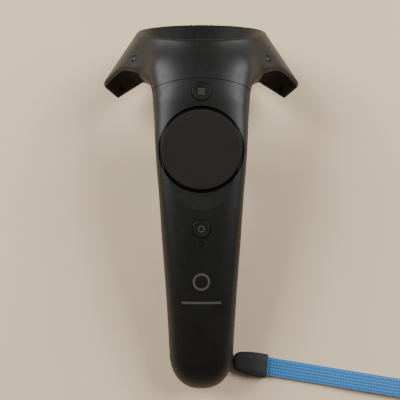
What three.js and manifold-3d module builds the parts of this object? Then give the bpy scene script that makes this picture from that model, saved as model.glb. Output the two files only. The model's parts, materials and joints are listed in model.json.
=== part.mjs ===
// A hand-held motion controller for virtual reality: a tapered handle with a round trackpad,
// buttons, a trigger and grips, and a faceted sensor ring that hangs below its head.
// The controller is drawn in its handle's frame: +X right, +Y to the head, +Z out of the control
// face, with z = 0 on that face. The whole is then tilted to lie on its tail and its ring.

import * as THREE from 'three';
import { mergeVertices } from 'three/addons/utils/BufferGeometryUtils.js';
import Module from 'manifold-3d';

const wasm = await Module();
wasm.setup();

// ---- Driving dimensions, in millimetres and degrees ----

const GAP = 0.3;
const WALL = 2.2;
const PARTING_Z = -11;
const MIDDLE_Z = -13;

// The handle's shape along Y: pairs of a place and a value.
const HALF_WIDTH = [
  [-80, 16.7], [-52, 18.3], [-26, 20.2], [0, 21.9], [25, 23.8],
  [47, 24.9], [57, 26.2], [66, 28.4], [75, 27],
];
const TOP = [[-80, -0.8], [-52, 0], [-26, 0], [0, 0], [30, 0], [56, 0], [66, -1.6], [75, -4.8]];
const BOTTOM = [
  [-80, -27], [-52, -29], [-26, -30.5], [0, -32.5], [25, -35], [47, -36], [62, -34.5], [75, -26],
];
// How square the section's shoulders are above its middle, and below it.
const TOP_POWER = [
  [-80, 2.6], [-52, 3], [-26, 3.4], [0, 4.4], [25, 5], [47, 4.2], [60, 3.2], [75, 2.8],
];
const BOTTOM_POWER = 2.3;
const TAIL = { start: -80, length: 18.8, power: 2.1 };
const HANDLE_FRONT = 75;
const CAVITY_BACK = -80;
const CAVITY_FRONT = 70;

// The sensor ring: a round rim that leans forward, a round throat behind it and a six-sided rear.
const RIM = { centre: [0, 99.6, -40.5], lean: 26, halfWidth: 36.6, halfHeight: 38.3 };
const THROAT = { halfWidth: 27.5, halfHeight: 24.5, depth: 13 };
// Rear edges from the top, 0, to the bottom, 1, of the right half: share, x, y, z.
const OUTER_EDGE = [
  [0, 0, 58, -1], [0.08, 16, 58.5, -1.8], [0.167, 26.3, 61.4, -9], [0.29, 37.2, 71.7, -22],
  [0.368, 46.2, 75, -30], [0.464, 61.8, 68.2, -49], [0.722, 33, 84, -79], [1, 0, 85.5, -81.5],
];
const INNER_EDGE = [
  [0, 0, 58, -30], [0.167, 22, 60, -26], [0.29, 32, 65.5, -27], [0.368, 37, 66, -33],
  [0.464, 52.6, 60.6, -52], [0.722, 28, 81.5, -68], [1, 0, 84, -70],
];
const EDGE_ROUNDING = 0.03;
const CORNER_CUTS = [1, 1.5, 1.5, 2];
const RING_WALL = 2;
const REAR_SHELL_START = 0.27;
const RING_STEPS = 48;

const SEAM = { centreY: -20.5, radius: 82 };
const PAD = { y: 25.3, radius: 20.25, top: -0.4, thickness: 2.5 };
const BEZEL = { outer: 21.5, inner: 20.55, floor: -8, sunk: 0.6 };
const MENU = { y: 54.4, radius: 4.8 };
const SYSTEM = { y: -14.5, radius: 4.5 };
const FLANGE = { reach: 1.2, top: -3, bottom: -4.4 };
const STATUS_LIGHT = { y: -22, radius: 0.75 };
const GRIP = { y: -11, z: -18.5, length: 30, height: 9, proud: 0.5, flange: 1 };
const TRIGGER = { y: 35, z: -24, width: 13 };
const TRIGGER_OPENING = { y: [15.2, 47.5], z: [-50, -20], margin: 0.5 };
const PIN = { radius: 1, reach: 11.6 };
const MAGNET = { radius: 1.5, pocket: 1.9, depth: 2.3, y: 25, z: -31.5 };
const SPRING = { radius: 2.2, wire: 0.3, turns: 2.5, start: 7.3, length: 1.9 };
const BRACKET = { x: [9.6, 11.2], y: [28, 42], z: [-29, -13.5], web: 1.5 };
const BOARD = { top: -8.7, thickness: 1.2 };
const SCREWS = [[0, -71], [0, -2], [-15, 48], [15, 48]];
const SCREW = { shaft: 1.2, head: 2.4, headHeight: 1.6, tip: -6.5, boss: 3 };
const USB = { y: -97.4, depth: 5.4, width: 7.6, height: 2.8, z: -11.6 };
const BAR = { x: 8.5, z: -19.5, radius: 1.5, back: -91, front: -80.4 };
const NOTCH = { x: [5, 24], y: [-89, -82], z: [-40, -16] };
// Boxes inside the handle: stretches of x, y and z.
const BATTERY = [[-11, 11], [-65, -15], [-22, -14]];
const HAPTIC_MOTOR = [[-8, 8], [2.5, 12.5], [-24, -15]];
const RADIO_SHIELD = [[-7, 7], [42.5, 56], [-12.6, -10.2]];
const ANTENNA = [[-11, 11], [59, 66], [-9.6, -8.8]];
const CLICK_SWITCH = [[-3, 3], [13.5, 20], [-22.6, -19.6]];
// The right half of the main board's outline, from tail to head: x, y.
const BOARD_EDGE = [[4, -91.5], [4, -79], [12.5, -77], [17, 0], [17, 58]];
const REST_TAIL = { y: -86, z: -26.1 };
const REST_RING = { y: 86.5, z: -80.6 };

// The wrist strap, in the frame of the resting controller: it lies on the surface, z = 0.
const STRAP = { x: 18, y: -98.5, heading: -8.9 };
const SLEEVE = { length: 18, width: 12.6, height: 5.2 };
const SLIDER = { start: 94, length: 15, width: 14.6, floor: 0.8, slot: [10.2, 3] };
const WEBBING = { width: 9.6, thickness: 1.1 };
const LANYARD_RADIUS = 0.6;
const TWIST_SHARE = 0.08;
const LANYARD_ROUTE = [
  [17.7, -97.9, 2.3], [16, -97.3, 2.4], [14, -95.6, 2.3], [11.6, -94.4, 2.8], [9.2, -94.9, 3.6],
  [7.2, -95.8, 4.3], [6.1, -96.6, 6.3], [7.1, -97.1, 8.3], [9.4, -97.6, 8.7], [11.9, -98.6, 7.9],
  [13.9, -99.6, 6.2], [15.2, -99.8, 4.5], [16.5, -99.3, 3.5], [17.7, -99.2, 3.1],
];
const WEBBING_ROUTE = [
  [36.1, -101.33, 1.35], [45, -102.73, 1.35], [55, -104.29, 1.35], [65, -105.86, 1.4], [72, -106.96, 1.7],
  [79, -108.05, 2.2], [86, -109.15, 2.4], [95, -110.56, 2.4], [105, -112.12, 2.4], [115, -113.69, 2.4],
  [125.2, -115.29, 2.4],
];
const LOOP_ROUTE = [
  [127.1, -115.6, 1.65], [131, -116.35, 2.3], [137, -118.2, 4.2], [146, -121.5, 4.9], [160, -124.5, 4.9],
  [178, -123, 4.9], [196, -115, 4.9], [211, -102, 4.9], [222, -86, 4.9], [228, -70, 4.9], [228, -55, 4.9],
  [220, -45, 4.9], [208, -43, 4.9], [197, -49, 4.9], [189, -61, 4.9], [181, -76, 4.9], [171, -90, 4.9],
  [158, -102, 4.9], [147, -109.5, 4.9], [137, -113.4, 4.5], [131, -115.3, 3.8], [127.1, -115.6, 3.15],
];

// ---- Solids ----

function solidOf(geometry) {
  const bare = geometry.clone();
  bare.deleteAttribute('normal');
  bare.deleteAttribute('uv');
  const merged = mergeVertices(bare, 1e-4);
  const vertProperties = new Float32Array(merged.attributes.position.array);
  const triVerts = new Uint32Array(merged.index.array);
  return new wasm.Manifold(new wasm.Mesh({ numProp: 3, vertProperties, triVerts }));
}

function geometryOf(solid) {
  const mesh = solid.getMesh();
  const geometry = new THREE.BufferGeometry();
  geometry.setAttribute('position', new THREE.BufferAttribute(mesh.vertProperties, 3));
  geometry.setIndex(new THREE.BufferAttribute(mesh.triVerts, 1));
  return geometry;
}

function joined(first, ...others) {
  return others.reduce((whole, piece) => whole.add(piece), first);
}

function cut(first, ...others) {
  return others.reduce((whole, piece) => whole.subtract(piece), first);
}

function box(x, y, z) {
  const geometry = new THREE.BoxGeometry(x[1] - x[0], y[1] - y[0], z[1] - z[0]);
  geometry.translate((x[0] + x[1]) / 2, (y[0] + y[1]) / 2, (z[0] + z[1]) / 2);
  return solidOf(geometry);
}

function post(radius, x, y, z, sides = 24) {
  const geometry = new THREE.CylinderGeometry(radius, radius, z[1] - z[0], sides);
  geometry.rotateX(Math.PI / 2);
  geometry.translate(x, y, (z[0] + z[1]) / 2);
  return solidOf(geometry);
}

function rodAlongX(radius, x, y, z, sides = 16) {
  const geometry = new THREE.CylinderGeometry(radius, radius, x[1] - x[0], sides);
  geometry.rotateZ(Math.PI / 2);
  geometry.translate((x[0] + x[1]) / 2, y, z);
  return solidOf(geometry);
}

function rodAlongY(radius, x, y, z, sides = 16) {
  const geometry = new THREE.CylinderGeometry(radius, radius, y[1] - y[0], sides);
  geometry.translate(x, (y[0] + y[1]) / 2, z);
  return solidOf(geometry);
}

// An outline in Y and Z, drawn as shape x and y, that is as thick as the given stretch of X.
function slabAcrossX(shape, x, curveSegments = 6) {
  const settings = { depth: x[1] - x[0], bevelEnabled: false, curveSegments };
  const geometry = new THREE.ExtrudeGeometry(shape, settings);
  geometry.rotateY(Math.PI / 2);
  geometry.rotateX(Math.PI / 2);
  geometry.translate(x[0], 0, 0);
  return solidOf(geometry);
}

// A closed skin through rings of points; closed = true joins the last ring to the first.
function loft(sections, closed = false) {
  const points = sections.flat();
  const count = sections[0].length;
  const indices = [];
  const steps = closed ? sections.length : sections.length - 1;
  for (let i = 0; i < steps; i += 1) {
    const next = (i + 1) % sections.length;
    for (let k = 0; k < count; k += 1) {
      const a = i * count + k;
      const b = i * count + ((k + 1) % count);
      const c = next * count + ((k + 1) % count);
      const d = next * count + k;
      indices.push(a, b, c, a, c, d);
    }
  }
  if (!closed) {
    for (const [index, flip] of [[0, true], [sections.length - 1, false]]) {
      const middle = new THREE.Vector3();
      sections[index].forEach((point) => middle.addScaledVector(point, 1 / count));
      const centre = points.push(middle) - 1;
      for (let k = 0; k < count; k += 1) {
        const a = index * count + k;
        const b = index * count + ((k + 1) % count);
        indices.push(...(flip ? [a, centre, b] : [a, b, centre]));
      }
    }
  }
  return turnedOutward(new THREE.BufferGeometry().setFromPoints(points), indices, points);
}

function turnedOutward(geometry, indices, points) {
  let volume = 0;
  for (let i = 0; i < indices.length; i += 3) {
    const [a, b, c] = [points[indices[i]], points[indices[i + 1]], points[indices[i + 2]]];
    volume += a.dot(new THREE.Vector3().crossVectors(b, c));
  }
  const outward = volume > 0 ? indices : indices.slice().reverse();
  geometry.setIndex(outward);
  return solidOf(geometry);
}

// ---- The handle's outer form ----

// A smooth curve through the knots, with the slope at each taken from its neighbours.
function along(knots, place) {
  const last = knots.length - 1;
  if (place <= knots[0][0]) return knots[0][1];
  if (place >= knots[last][0]) return knots[last][1];
  const i = knots.findIndex((knot) => knot[0] > place) - 1;
  const slope = (k) => {
    const [a, b] = [knots[Math.max(k - 1, 0)], knots[Math.min(k + 1, last)]];
    return (b[1] - a[1]) / (b[0] - a[0]);
  };
  const span = knots[i + 1][0] - knots[i][0];
  const u = (place - knots[i][0]) / span;
  const [u2, u3] = [u * u, u * u * u];
  return (2 * u3 - 3 * u2 + 1) * knots[i][1] + (u3 - 2 * u2 + u) * span * slope(i)
    + (3 * u2 - 2 * u3) * knots[i + 1][1] + (u3 - u2) * span * slope(i + 1);
}

function handleSection(y, inset, points) {
  const into = Math.min(Math.max((TAIL.start - y) / TAIL.length, 0), 1);
  const taper = (1 - into ** TAIL.power) ** (1 / TAIL.power);
  const halfWidth = along(HALF_WIDTH, y) * taper - inset;
  const up = (along(TOP, y) - MIDDLE_Z) * taper - inset;
  const down = (MIDDLE_Z - along(BOTTOM, y)) * taper - inset;
  return Array.from({ length: points }, (_, k) => {
    const angle = (2 * Math.PI * k) / points;
    const [c, s] = [Math.cos(angle), Math.sin(angle)];
    const power = 2 / (s >= 0 ? along(TOP_POWER, y) : BOTTOM_POWER);
    const x = halfWidth * Math.sign(c) * Math.abs(c) ** power;
    const z = MIDDLE_Z + (s >= 0 ? up : down) * Math.sign(s) * Math.abs(s) ** power;
    return new THREE.Vector3(x, y, z);
  });
}

function handleForm(inset, back, front, points = 26) {
  const places = [];
  if (back < TAIL.start) {
    for (const turn of [84, 62, 42, 21]) {
      places.push(TAIL.start - TAIL.length * Math.sin(THREE.MathUtils.degToRad(turn)));
    }
  }
  const first = Math.max(back, TAIL.start);
  const steps = 11;
  for (let i = 0; i <= steps; i += 1) places.push(first + ((front - first) * i) / steps);
  return loft(places.map((y) => handleSection(y, inset, points)));
}

// ---- The sensor ring's outer form ----

// A point of the rim's leaning plane: across, up in the plane, and depth behind it.
function onRim(across, up, depth) {
  const lean = THREE.MathUtils.degToRad(RIM.lean);
  return new THREE.Vector3(
    RIM.centre[0] + across,
    RIM.centre[1] - up * Math.sin(lean) - depth * Math.cos(lean),
    RIM.centre[2] + up * Math.cos(lean) - depth * Math.sin(lean),
  );
}

function oval(share, halfWidth, halfHeight, depth) {
  const angle = Math.PI * (0.5 - share);
  return onRim(halfWidth * Math.cos(angle), halfHeight * Math.sin(angle), depth);
}

function straightAlong(edge, share) {
  const mirrored = share < 0 ? -share : share > 1 ? 2 - share : share;
  const i = Math.max(edge.findIndex((knot) => knot[0] >= mirrored) - 1, 0);
  const u = (mirrored - edge[i][0]) / (edge[i + 1][0] - edge[i][0]);
  const [x, y, z] = [1, 2, 3].map((k) => edge[i][k] + u * (edge[i + 1][k] - edge[i][k]));
  return new THREE.Vector3(share < 0 || share > 1 ? -x : x, y, z);
}

// The edge with its corners rounded: the mean over a short stretch around the place.
function roundedAlong(edge, share) {
  const mean = new THREE.Vector3();
  const samples = 9;
  for (let i = 0; i < samples; i += 1) {
    const offset = EDGE_ROUNDING * ((2 * i) / (samples - 1) - 1);
    mean.addScaledVector(straightAlong(edge, share + offset), 1 / samples);
  }
  return mean;
}

// The four corners of the ring's section, at a share 0 to 2 of the way round from the top.
function ringCorners(share) {
  const half = share > 1 ? 2 - share : share;
  const corners = [
    oval(half, RIM.halfWidth, RIM.halfHeight, 0),
    roundedAlong(OUTER_EDGE, half),
    roundedAlong(INNER_EDGE, half),
    oval(half, THROAT.halfWidth, THROAT.halfHeight, THROAT.depth),
  ];
  if (share > 1) corners.forEach((corner) => corner.setX(-corner.x));
  return corners;
}

function insetCorners(corners, inset) {
  return corners.map((corner, k) => {
    const before = corners[(k + 3) % 4].clone().sub(corner).normalize();
    const after = corners[(k + 1) % 4].clone().sub(corner).normalize();
    const inward = before.clone().add(after).normalize();
    const halfAngle = before.angleTo(after) / 2;
    return corner.clone().addScaledVector(inward, inset / Math.sin(halfAngle));
  });
}

function trimmedCorners(corners, cuts) {
  return corners.flatMap((corner, k) => {
    const before = corners[(k + 3) % 4].clone().sub(corner).normalize();
    const after = corners[(k + 1) % 4].clone().sub(corner).normalize();
    return [before, after].map((towards) => corner.clone().addScaledVector(towards, cuts[k]));
  });
}

function ringForm(inset, cuts) {
  const sections = Array.from({ length: RING_STEPS }, (_, i) => {
    const corners = insetCorners(ringCorners((2 * i) / RING_STEPS), inset);
    return cuts ? trimmedCorners(corners, cuts) : corners;
  });
  return loft(sections, true);
}

// A band inside the ring's section: shares of its depth from front to rear, and of its thickness.
function ringBand(depth, thickness) {
  const sections = Array.from({ length: RING_STEPS }, (_, i) => {
    const [front, outer, inner, throat] = ringCorners((2 * i) / RING_STEPS);
    const place = (d, t) => front.clone().lerp(outer, d).lerp(throat.clone().lerp(inner, d), t);
    return [
      place(depth[0], thickness[0]), place(depth[1], thickness[0]),
      place(depth[1], thickness[1]), place(depth[0], thickness[1]),
    ];
  });
  return loft(sections, true);
}

// The space that the rear shell is cut from: behind a line from its outer edge to the throat.
function rearRegion(shift) {
  const steps = 36;
  const span = 2 - 2 * REAR_SHELL_START;
  const start = REAR_SHELL_START + (shift < 0 ? 0.002 : 0);
  const sections = Array.from({ length: steps + 1 }, (_, i) => {
    const share = start + ((span - 2 * (start - REAR_SHELL_START)) * i) / steps;
    const [front, outer, inner, throat] = ringCorners(share);
    const rearward = outer.clone().sub(front).normalize();
    const inward = inner.clone().sub(outer).normalize();
    const atEdge = outer.clone().addScaledVector(inward, 2.4 - shift);
    const atThroat = throat.clone().lerp(inner, 0.12).addScaledVector(inward, -shift);
    return [
      atEdge,
      atEdge.clone().addScaledVector(rearward, 6),
      inner.clone().addScaledVector(rearward, 6).addScaledVector(inward, 6),
      atThroat.clone().addScaledVector(inward, 6),
      atThroat,
    ];
  });
  return loft(sections);
}

// Shallow round windows in the ring's faces: where the light sensors look out.
function sensorDimples() {
  const rows = [
    { face: [0, 1], along: 0.7, shares: [0.31] },
    { face: [0, 1], along: 0.5, shares: [0.5, 0.62, 0.8] },
    { face: [1, 2], along: 0.78, shares: [0.412] },
    { face: [1, 2], along: 0.55, shares: [0.66, 0.86] },
    { face: [2, 3], along: 0.4, shares: [0.55, 0.75] },
    { face: [3, 0], along: 0.5, shares: [0.15, 0.3] },
  ];
  const places = rows.flatMap(({ face, along: reach, shares }) => (
    shares.flatMap((share) => [-1, 1].map((side) => ({ share, side, face, along: reach })))
  ));
  return places.map(({ share, side, face, along: reach }) => {
    const at = (s) => {
      const corners = ringCorners(s);
      return corners[face[0]].clone().lerp(corners[face[1]], reach);
    };
    const corners = ringCorners(share);
    const across = corners[face[1]].clone().sub(corners[face[0]]);
    const round = at(share + 0.02).sub(at(share - 0.02));
    const normal = new THREE.Vector3().crossVectors(across, round).normalize();
    const place = at(share);
    const geometry = new THREE.CylinderGeometry(2, 2, 1.6, 8);
    geometry.applyQuaternion(new THREE.Quaternion().setFromUnitVectors(new THREE.Vector3(0, 1, 0), normal));
    geometry.translate(place.x, place.y, place.z);
    if (side < 0) geometry.scale(-1, 1, 1);
    if (side < 0) geometry.setIndex(Array.from(geometry.index.array).reverse());
    return solidOf(geometry);
  });
}

// ---- Regions that part the casing ----

function headRegion(shift) {
  const reach = 70;
  const radius = SEAM.radius + shift;
  const shape = new THREE.Shape();
  const angle = Math.asin(reach / radius);
  shape.moveTo(-reach, 150);
  shape.lineTo(reach, 150);
  shape.absarc(0, SEAM.centreY, radius, Math.PI / 2 - angle, Math.PI / 2 + angle, false);
  const geometry = new THREE.ExtrudeGeometry(shape, { depth: 160, bevelEnabled: false, curveSegments: 20 });
  geometry.translate(0, 0, -120);
  return solidOf(geometry);
}

function stadium(centreA, centreB, length, height) {
  const shape = new THREE.Shape();
  const half = (length - height) / 2;
  shape.absarc(centreA + half, centreB, height / 2, -Math.PI / 2, Math.PI / 2, false);
  shape.absarc(centreA - half, centreB, height / 2, Math.PI / 2, 1.5 * Math.PI, false);
  return shape;
}

function gripColumn(side, margin, x) {
  const shape = stadium(GRIP.y, GRIP.z, GRIP.length + 2 * margin, GRIP.height + 2 * margin);
  return slabAcrossX(shape, side > 0 ? x : [-x[1], -x[0]]);
}

// The trigger's side view: y and z, round from its hub, down its finger curve and back.
function triggerOutline() {
  const shape = new THREE.Shape();
  shape.moveTo(40, -22);
  shape.lineTo(44.5, -34);
  shape.quadraticCurveTo(35, -42, 33.6, -54);
  shape.quadraticCurveTo(30, -57.5, 26.8, -53);
  shape.quadraticCurveTo(25.5, -41, 18.5, -34);
  shape.lineTo(18.5, -29.5);
  shape.quadraticCurveTo(25, -28, 31, -21.5);
  shape.quadraticCurveTo(35, -18, 40, -22);
  return shape;
}

// ---- Casing ----

const handle = handleForm(0, TAIL.start - TAIL.length, HANDLE_FRONT);
const ring = ringForm(0, CORNER_CUTS);
const handleCavity = handleForm(WALL, CAVITY_BACK, CAVITY_FRONT, 22);
const ringCavity = ringForm(RING_WALL, null);
const hull = joined(handle, ring);

function restPlane() {
  const slope = Math.atan2(REST_TAIL.z - REST_RING.z, REST_RING.y - REST_TAIL.y);
  const geometry = new THREE.BoxGeometry(200, 400, 40);
  geometry.translate(0, 0, -20);
  geometry.rotateX(-slope);
  geometry.translate(0, REST_TAIL.y, REST_TAIL.z);
  return { slope, below: solidOf(geometry) };
}

const rest = restPlane();

function controlOpenings() {
  return [
    post(BEZEL.outer + GAP, 0, PAD.y, [BEZEL.floor - GAP, 5], 48),
    ...[MENU, SYSTEM].flatMap(({ y, radius }) => [
      post(radius + GAP, 0, y, [-6, 5], 32),
      post(radius + FLANGE.reach + GAP, 0, y, [-6, FLANGE.top + GAP], 32),
    ]),
    post(STATUS_LIGHT.radius + GAP, 0, STATUS_LIGHT.y, [-6, 5], 10),
  ];
}

function usbSlot() {
  const half = USB.width / 2 + GAP + 0.2;
  return box([-half, half], [-110, CAVITY_BACK + 1], [USB.z - USB.height / 2 - GAP, -8.3]);
}

function screwBosses(z) {
  const posts = SCREWS.map(([x, y]) => post(SCREW.boss, x, y, z, 16));
  return joined(...posts).intersect(handle);
}

function screwHoles() {
  return SCREWS.flatMap(([x, y]) => {
    const seat = seatOf(x, y);
    return [post(SCREW.shaft + GAP, x, y, [-60, -6], 12), post(SCREW.head + GAP, x, y, [-60, seat], 16)];
  });
}

// The height of a screw head's seat: sunk below the underside's skin at its place.
function seatOf(x, y) {
  const down = MIDDLE_Z - along(BOTTOM, y);
  const drop = (1 - (Math.abs(x) / along(HALF_WIDTH, y)) ** BOTTOM_POWER) ** (1 / BOTTOM_POWER);
  return MIDDLE_Z - down * drop + 2.6;
}

function lanyardHollows() {
  return [
    box(NOTCH.x, NOTCH.y, NOTCH.z),
    rodAlongY(BAR.radius + GAP, BAR.x, [BAR.back - GAP, BAR.front + GAP], BAR.z),
  ];
}

function gripHollows() {
  return [-1, 1].flatMap((side) => [
    gripColumn(side, GAP, [14, 40]),
    gripColumn(side, GRIP.flange + GAP, [14, 16.6]),
  ]);
}

function triggerOpening() {
  const half = TRIGGER.width / 2 + TRIGGER_OPENING.margin;
  return box([-half, half], TRIGGER_OPENING.y, TRIGGER_OPENING.z);
}

const shell = cut(hull, joined(handleCavity, ringCavity));
const handlePart = cut(shell, headRegion(-GAP));
const headPart = shell.intersect(headRegion(0)).subtract(rest.below);

const handleTopShell = cut(
  joined(
    handlePart.intersect(box([-60, 60], [-120, 120], [PARTING_Z + GAP / 2, 40])),
    screwBosses([PARTING_Z + GAP / 2, -1.2]),
  ),
  ...controlOpenings(), ...screwHoles(), usbSlot(),
);
const handleBottomShell = cut(
  joined(
    handlePart.intersect(box([-60, 60], [-120, 120], [-60, PARTING_Z - GAP / 2])),
    screwBosses([-60, PARTING_Z - GAP / 2]),
  ),
  ...screwHoles(), ...gripHollows(), ...lanyardHollows(), usbSlot(), triggerOpening(), rest.below,
);
const dimples = sensorDimples();
const headCover = cut(headPart, rearRegion(GAP / 2), ...dimples);
const ringRearShell = cut(headPart.intersect(rearRegion(-GAP / 2)), ...dimples);

// ---- Parts in the ring ----

const ringChassis = ringBand([0.2, 0.74], [0.4, 0.6]);
const sensorFlex = ringBand([0.24, 0.7], [0.28, 0.33]);

// ---- Controls ----

function trackpadBezel() {
  const outer = post(BEZEL.outer, 0, PAD.y, [BEZEL.floor, 2], 48);
  const well = post(BEZEL.inner, 0, PAD.y, [BEZEL.floor + 0.8, 4], 48);
  const wire = post(3, 0, PAD.y - 12, [-12, 0], 12);
  const skin = handleForm(BEZEL.sunk, CAVITY_BACK, 70);
  return cut(outer, well, wire).intersect(skin);
}

function discOfRevolution(profile, x, y, sides = 32) {
  const points = profile.map(([radius, z]) => new THREE.Vector2(radius, z));
  const geometry = new THREE.LatheGeometry(points, sides);
  geometry.rotateX(Math.PI / 2);
  geometry.translate(x, y, 0);
  return solidOf(geometry);
}

function trackpad() {
  const { radius, top, thickness } = PAD;
  const floor = top - thickness;
  const profile = [[0, floor], [radius, floor], [radius, top - 0.5], [radius - 0.5, top], [0, top]];
  return discOfRevolution(profile, 0, PAD.y, 48);
}

function roundButton(button, top) {
  const flange = button.radius + FLANGE.reach;
  const profile = [
    [0, FLANGE.bottom], [flange, FLANGE.bottom], [flange, FLANGE.top], [button.radius, FLANGE.top],
    [button.radius, top - 0.4], [button.radius - 0.4, top], [0, top],
  ];
  return discOfRevolution(profile, 0, button.y);
}

function gripButton(side) {
  const proudSkin = handleForm(-GRIP.proud, CAVITY_BACK, 70);
  const cap = gripColumn(side, 0, [15.2, 30]).intersect(proudSkin);
  const flange = gripColumn(side, GRIP.flange, [15, 16.3]);
  return joined(cap, flange);
}

function triggerBody() {
  const half = TRIGGER.width / 2;
  const body = slabAcrossX(triggerOutline(), [-half, half], 8);
  const bore = rodAlongX(PIN.radius + GAP, [-20, 20], TRIGGER.y, TRIGGER.z);
  const pocket = rodAlongX(MAGNET.pocket, [-half - 1, MAGNET.depth - half], MAGNET.y, MAGNET.z, 12);
  return cut(body, bore, pocket);
}

function triggerBracket() {
  const [inner, outer] = BRACKET.x;
  const top = box([-outer, outer], BRACKET.y, [BRACKET.z[1] - BRACKET.web, BRACKET.z[1]]);
  const cheeks = [[-outer, -inner], [inner, outer]].map((x) => box(x, BRACKET.y, BRACKET.z));
  const bore = rodAlongX(PIN.radius + GAP, [-20, 20], TRIGGER.y, TRIGGER.z);
  return cut(joined(top, ...cheeks), bore);
}

class Helix extends THREE.Curve {
  constructor(radius, turns, start, length, y, z) {
    super();
    Object.assign(this, { radius, turns, start, length, y, z });
  }

  getPoint(t, target = new THREE.Vector3()) {
    const angle = 2 * Math.PI * this.turns * t;
    const [y, z] = [this.radius * Math.cos(angle), this.radius * Math.sin(angle)];
    return target.set(this.start + this.length * t, this.y + y, this.z + z);
  }
}

function disc(radius, sides) {
  const shape = new THREE.Shape();
  for (let i = 0; i < sides; i += 1) {
    const angle = (2 * Math.PI * i) / sides;
    const [x, y] = [radius * Math.cos(angle), radius * Math.sin(angle)];
    if (i === 0) shape.moveTo(x, y);
    else shape.lineTo(x, y);
  }
  return shape;
}

function tube(path, radius, steps, sides) {
  const settings = { steps, bevelEnabled: false, extrudePath: path, curveSegments: 1 };
  return solidOf(new THREE.ExtrudeGeometry(disc(radius, sides), settings));
}

function triggerSpring() {
  const { radius, wire, turns, start, length } = SPRING;
  return tube(new Helix(radius, turns, start, length, TRIGGER.y, TRIGGER.z), wire, 36, 6);
}

// ---- Parts in the handle ----

function mainBoard() {
  const shape = new THREE.Shape();
  const mirrored = BOARD_EDGE.map(([x, y]) => [-x, y]);
  const outline = [mirrored[0], ...BOARD_EDGE, ...mirrored.slice(1).reverse()];
  shape.setFromPoints(outline.map(([x, y]) => new THREE.Vector2(x, y)));
  const geometry = new THREE.ExtrudeGeometry(shape, { depth: BOARD.thickness, bevelEnabled: false });
  geometry.translate(0, 0, BOARD.top - BOARD.thickness);
  const holes = SCREWS.map(([x, y]) => post(SCREW.boss + GAP, x, y, [-14, -4], 16));
  return cut(solidOf(geometry), ...holes);
}

function switchBlock(x, y, bottom, top, size = 5) {
  const half = size / 2;
  const body = box([x - half, x + half], [y - half, y + half], [bottom, top - 0.6]);
  return joined(body, post(size * 0.3, x, y, [bottom + 0.2, top], 12));
}

function gripSwitch(side) {
  const body = box([12.2, 13.6], [GRIP.y - 2.5, GRIP.y + 2.5], [GRIP.z - 2.5, GRIP.z + 2.5]);
  const nub = box([13.4, 14], [GRIP.y - 1, GRIP.y + 1], [GRIP.z - 1, GRIP.z + 1]);
  const whole = joined(body, nub);
  return side > 0 ? whole : whole.mirror([1, 0, 0]);
}

function usbReceptacle() {
  const [wide, high] = [USB.width / 2, USB.height / 2 - 0.1];
  const back = USB.y + USB.depth;
  const metal = 0.4;
  const outer = box([-wide, wide], [USB.y, back], [USB.z - high, USB.z + high]);
  const mouth = box(
    [metal - wide, wide - metal], [USB.y - 1, back - 0.5], [USB.z - high + metal, USB.z + high - metal],
  );
  const tongue = box([-2.2, 2.2], [USB.y + 0.8, back - 0.2], [USB.z - 0.2, USB.z + 0.4]);
  return joined(cut(outer, mouth), tongue);
}

function caseScrew([x, y]) {
  const seat = seatOf(x, y) - GAP / 2;
  const head = post(SCREW.head, x, y, [seat - SCREW.headHeight, seat], 16);
  const shaft = post(SCREW.shaft, x, y, [seat - 0.2, SCREW.tip], 12);
  const socket = post(1.1, x, y, [seat - 3, seat - SCREW.headHeight + 0.9], 6);
  return cut(joined(head, shaft), socket);
}

// ---- The controller, in the handle's frame ----

const root = new THREE.Group();
const controller = new THREE.Group();
root.add(controller);

function add(group, name, solid, colour, roughness, metalness = 0) {
  const material = new THREE.MeshStandardMaterial({ color: colour, roughness, metalness });
  const mesh = new THREE.Mesh(geometryOf(solid), material);
  mesh.name = name;
  group.add(mesh);
  return mesh;
}

const CHARCOAL = 0x2b2b2d;
const BLACK = 0x121213;
const BOARD_GREEN = 0x14401f;
const STEEL = 0xb9bcc0;

add(controller, 'handle_top_shell', handleTopShell, CHARCOAL, 0.45);
add(controller, 'handle_bottom_shell', handleBottomShell, CHARCOAL, 0.5);
add(controller, 'head_cover', headCover, CHARCOAL, 0.45);
add(controller, 'ring_rear_shell', ringRearShell, BLACK, 0.5);
add(controller, 'ring_chassis', ringChassis, 0x3a3a3c, 0.7);
add(controller, 'sensor_flex', sensorFlex, 0x6b4a1a, 0.5);
add(controller, 'trackpad_bezel', trackpadBezel(), BLACK, 0.3);
add(controller, 'trackpad', trackpad(), 0x2a2825, 0.7);
add(controller, 'trackpad_board', post(19.4, 0, PAD.y, [-4.6, -3.2], 40), BOARD_GREEN, 0.5);
add(controller, 'trackpad_switch', switchBlock(0, PAD.y, -6.9, -5.2, 6), BLACK, 0.4);
add(controller, 'menu_button', roundButton(MENU, 0.1), CHARCOAL, 0.45);
add(controller, 'menu_switch', switchBlock(0, MENU.y, BOARD.top + GAP, -5.1), BLACK, 0.4);
add(controller, 'system_button', roundButton(SYSTEM, 0.05), CHARCOAL, 0.45);
add(controller, 'system_switch', switchBlock(0, SYSTEM.y, BOARD.top + GAP, -5), BLACK, 0.4);
add(controller, 'status_light_pipe',
  post(STATUS_LIGHT.radius, 0, STATUS_LIGHT.y, [BOARD.top + GAP, 0], 10), 0xd8dde0, 0.2);
add(controller, 'trigger', triggerBody(), BLACK, 0.4);
add(controller, 'trigger_pin',
  rodAlongX(PIN.radius, [-PIN.reach, PIN.reach], TRIGGER.y, TRIGGER.z), STEEL, 0.3, 1);
add(controller, 'trigger_spring', triggerSpring(), STEEL, 0.35, 1);
add(controller, 'trigger_magnet',
  rodAlongX(MAGNET.radius, [-6.2, -4.6], MAGNET.y, MAGNET.z, 12), 0x8a8d90, 0.3, 1);
add(controller, 'trigger_bracket', triggerBracket(), 0x3a3a3c, 0.6);
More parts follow.
